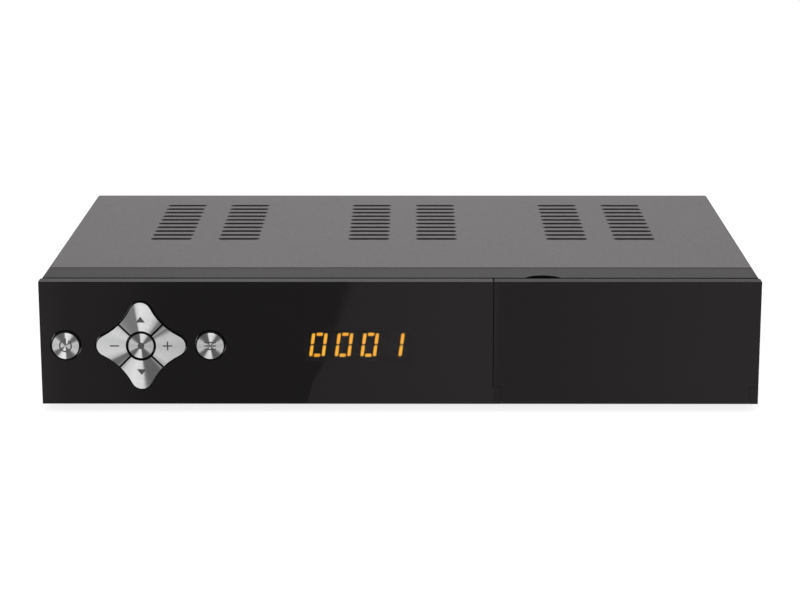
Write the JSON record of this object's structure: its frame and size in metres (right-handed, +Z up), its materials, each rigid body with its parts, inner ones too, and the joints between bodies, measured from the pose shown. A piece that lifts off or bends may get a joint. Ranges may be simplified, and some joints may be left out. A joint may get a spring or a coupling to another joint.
{
  "type": "satellite television receiver",
  "caption": "Low, wide satellite television receiver with a slotted steel cover, a glossy black front, round metal keys, an amber digit display and a drop-down door.",
  "frame": {"origin": "on the surface that the feet stand on, in the middle of the width and of the whole depth, keys and rear connectors included", "axes": "+X to the right as seen from the front, +Y from the front panel to the rear connectors, +Z up"},
  "size_m": [0.2634, 0.1704, 0.0486],
  "materials": {
    "cover_paint": "satin",
    "zinc_steel": "satin",
    "black_screws": "satin",
    "steel_screws": "satin",
    "foot_rubber": "matte",
    "frame_plastic": "satin",
    "gloss_black": "gloss",
    "spun_metal": "brushed",
    "black_plastic": "matte",
    "board_green": "satin",
    "board_tan": "satin",
    "display_black": "gloss",
    "digit_amber": "lit",
    "digit_dark": "matte",
    "eye_dark": "gloss",
    "ivory_plastic": "satin",
    "ribbon_grey": "satin",
    "tin_can": "satin",
    "nickel": "polished",
    "chip_black": "satin",
    "sink_dark": "anodised",
    "sink_bare": "satin",
    "can_sleeve": "satin",
    "part_grey": "satin",
    "winding": "satin",
    "ferrite": "matte",
    "wire_red": "satin"
  },
  "bodies": {
    "case": {"base_tray": "zinc_steel", "top_cover": "cover_paint", "cover_screws": "black_screws", "feet": "foot_rubber", "front_frame": "frame_plastic", "frame_screws": "steel_screws", "fascia": "gloss_black", "catch_magnet": "ferrite", "front_board": "board_green", "front_board_screws": "steel_screws", "key_switches": "black_plastic", "display_module": "display_black", "display_lit": "digit_amber", "display_dark": "digit_dark", "remote_eye": "eye_dark", "ribbon_cable": "ribbon_grey", "ribbon_headers": "ivory_plastic", "main_board": "board_green", "power_board": "board_tan", "board_spacers": "nickel", "board_screws": "steel_screws", "tuner_can": "tin_can", "lnb_in_connector": "nickel", "lnb_out_connector": "nickel", "connector_nuts": "nickel", "processor": "chip_black", "heat_sink": "sink_dark", "memory_chips": "chip_black", "main_capacitors": "can_sleeve", "board_parts": "part_grey", "hdmi_socket": "nickel", "scart_socket": "black_plastic", "rca_block": "black_plastic", "rca_sleeves": "nickel", "usb_socket": "nickel", "card_reader": "black_plastic", "mains_inlet": "black_plastic", "inlet_pins": "nickel", "line_filter": "winding", "mains_capacitor": "can_sleeve", "transformer": "ferrite", "switch_heat_sink": "sink_bare", "output_capacitors": "can_sleeve", "power_harness": "wire_red"},
    "door": {"door": "gloss_black", "catch_strike": "steel_screws"},
    "power_key": {"power_button": "spun_metal", "power_plunger": "black_plastic"},
    "menu_key": {"menu_button": "spun_metal", "menu_plunger": "black_plastic"},
    "ok_key": {"ok_button": "spun_metal", "ok_plunger": "black_plastic"},
    "volume_up_key": {"volume_up_button": "spun_metal", "volume_up_plunger": "black_plastic"},
    "channel_up_key": {"channel_up_button": "spun_metal", "channel_up_plunger": "black_plastic"},
    "volume_down_key": {"volume_down_button": "spun_metal", "volume_down_plunger": "black_plastic"},
    "channel_down_key": {"channel_down_button": "spun_metal", "channel_down_plunger": "black_plastic"}
  },
  "joints": [
    {"name": "door_hinge", "type": "hinge", "parent": "case", "child": "door", "pos_m": [0.08185, -0.08185, 0.0054], "axis": [1, 0, 0], "range_deg": [0, 90]},
    {"name": "power_press", "type": "slide", "parent": "case", "child": "power_key", "axis": [0, 1, 0], "range_m": [0, 0.0004], "stiffness_N_per_m": 2000},
    {"name": "menu_press", "type": "slide", "parent": "case", "child": "menu_key", "axis": [0, 1, 0], "range_m": [0, 0.0004], "stiffness_N_per_m": 2000},
    {"name": "ok_press", "type": "slide", "parent": "case", "child": "ok_key", "axis": [0, 1, 0], "range_m": [0, 0.0004], "stiffness_N_per_m": 2000},
    {"name": "volume_up_press", "type": "slide", "parent": "case", "child": "volume_up_key", "axis": [0, 1, 0], "range_m": [0, 0.0004], "stiffness_N_per_m": 2000},
    {"name": "channel_up_press", "type": "slide", "parent": "case", "child": "channel_up_key", "axis": [0, 1, 0], "range_m": [0, 0.0004], "stiffness_N_per_m": 2000},
    {"name": "volume_down_press", "type": "slide", "parent": "case", "child": "volume_down_key", "axis": [0, 1, 0], "range_m": [0, 0.0004], "stiffness_N_per_m": 2000},
    {"name": "channel_down_press", "type": "slide", "parent": "case", "child": "channel_down_key", "axis": [0, 1, 0], "range_m": [0, 0.0004], "stiffness_N_per_m": 2000}
  ]
}
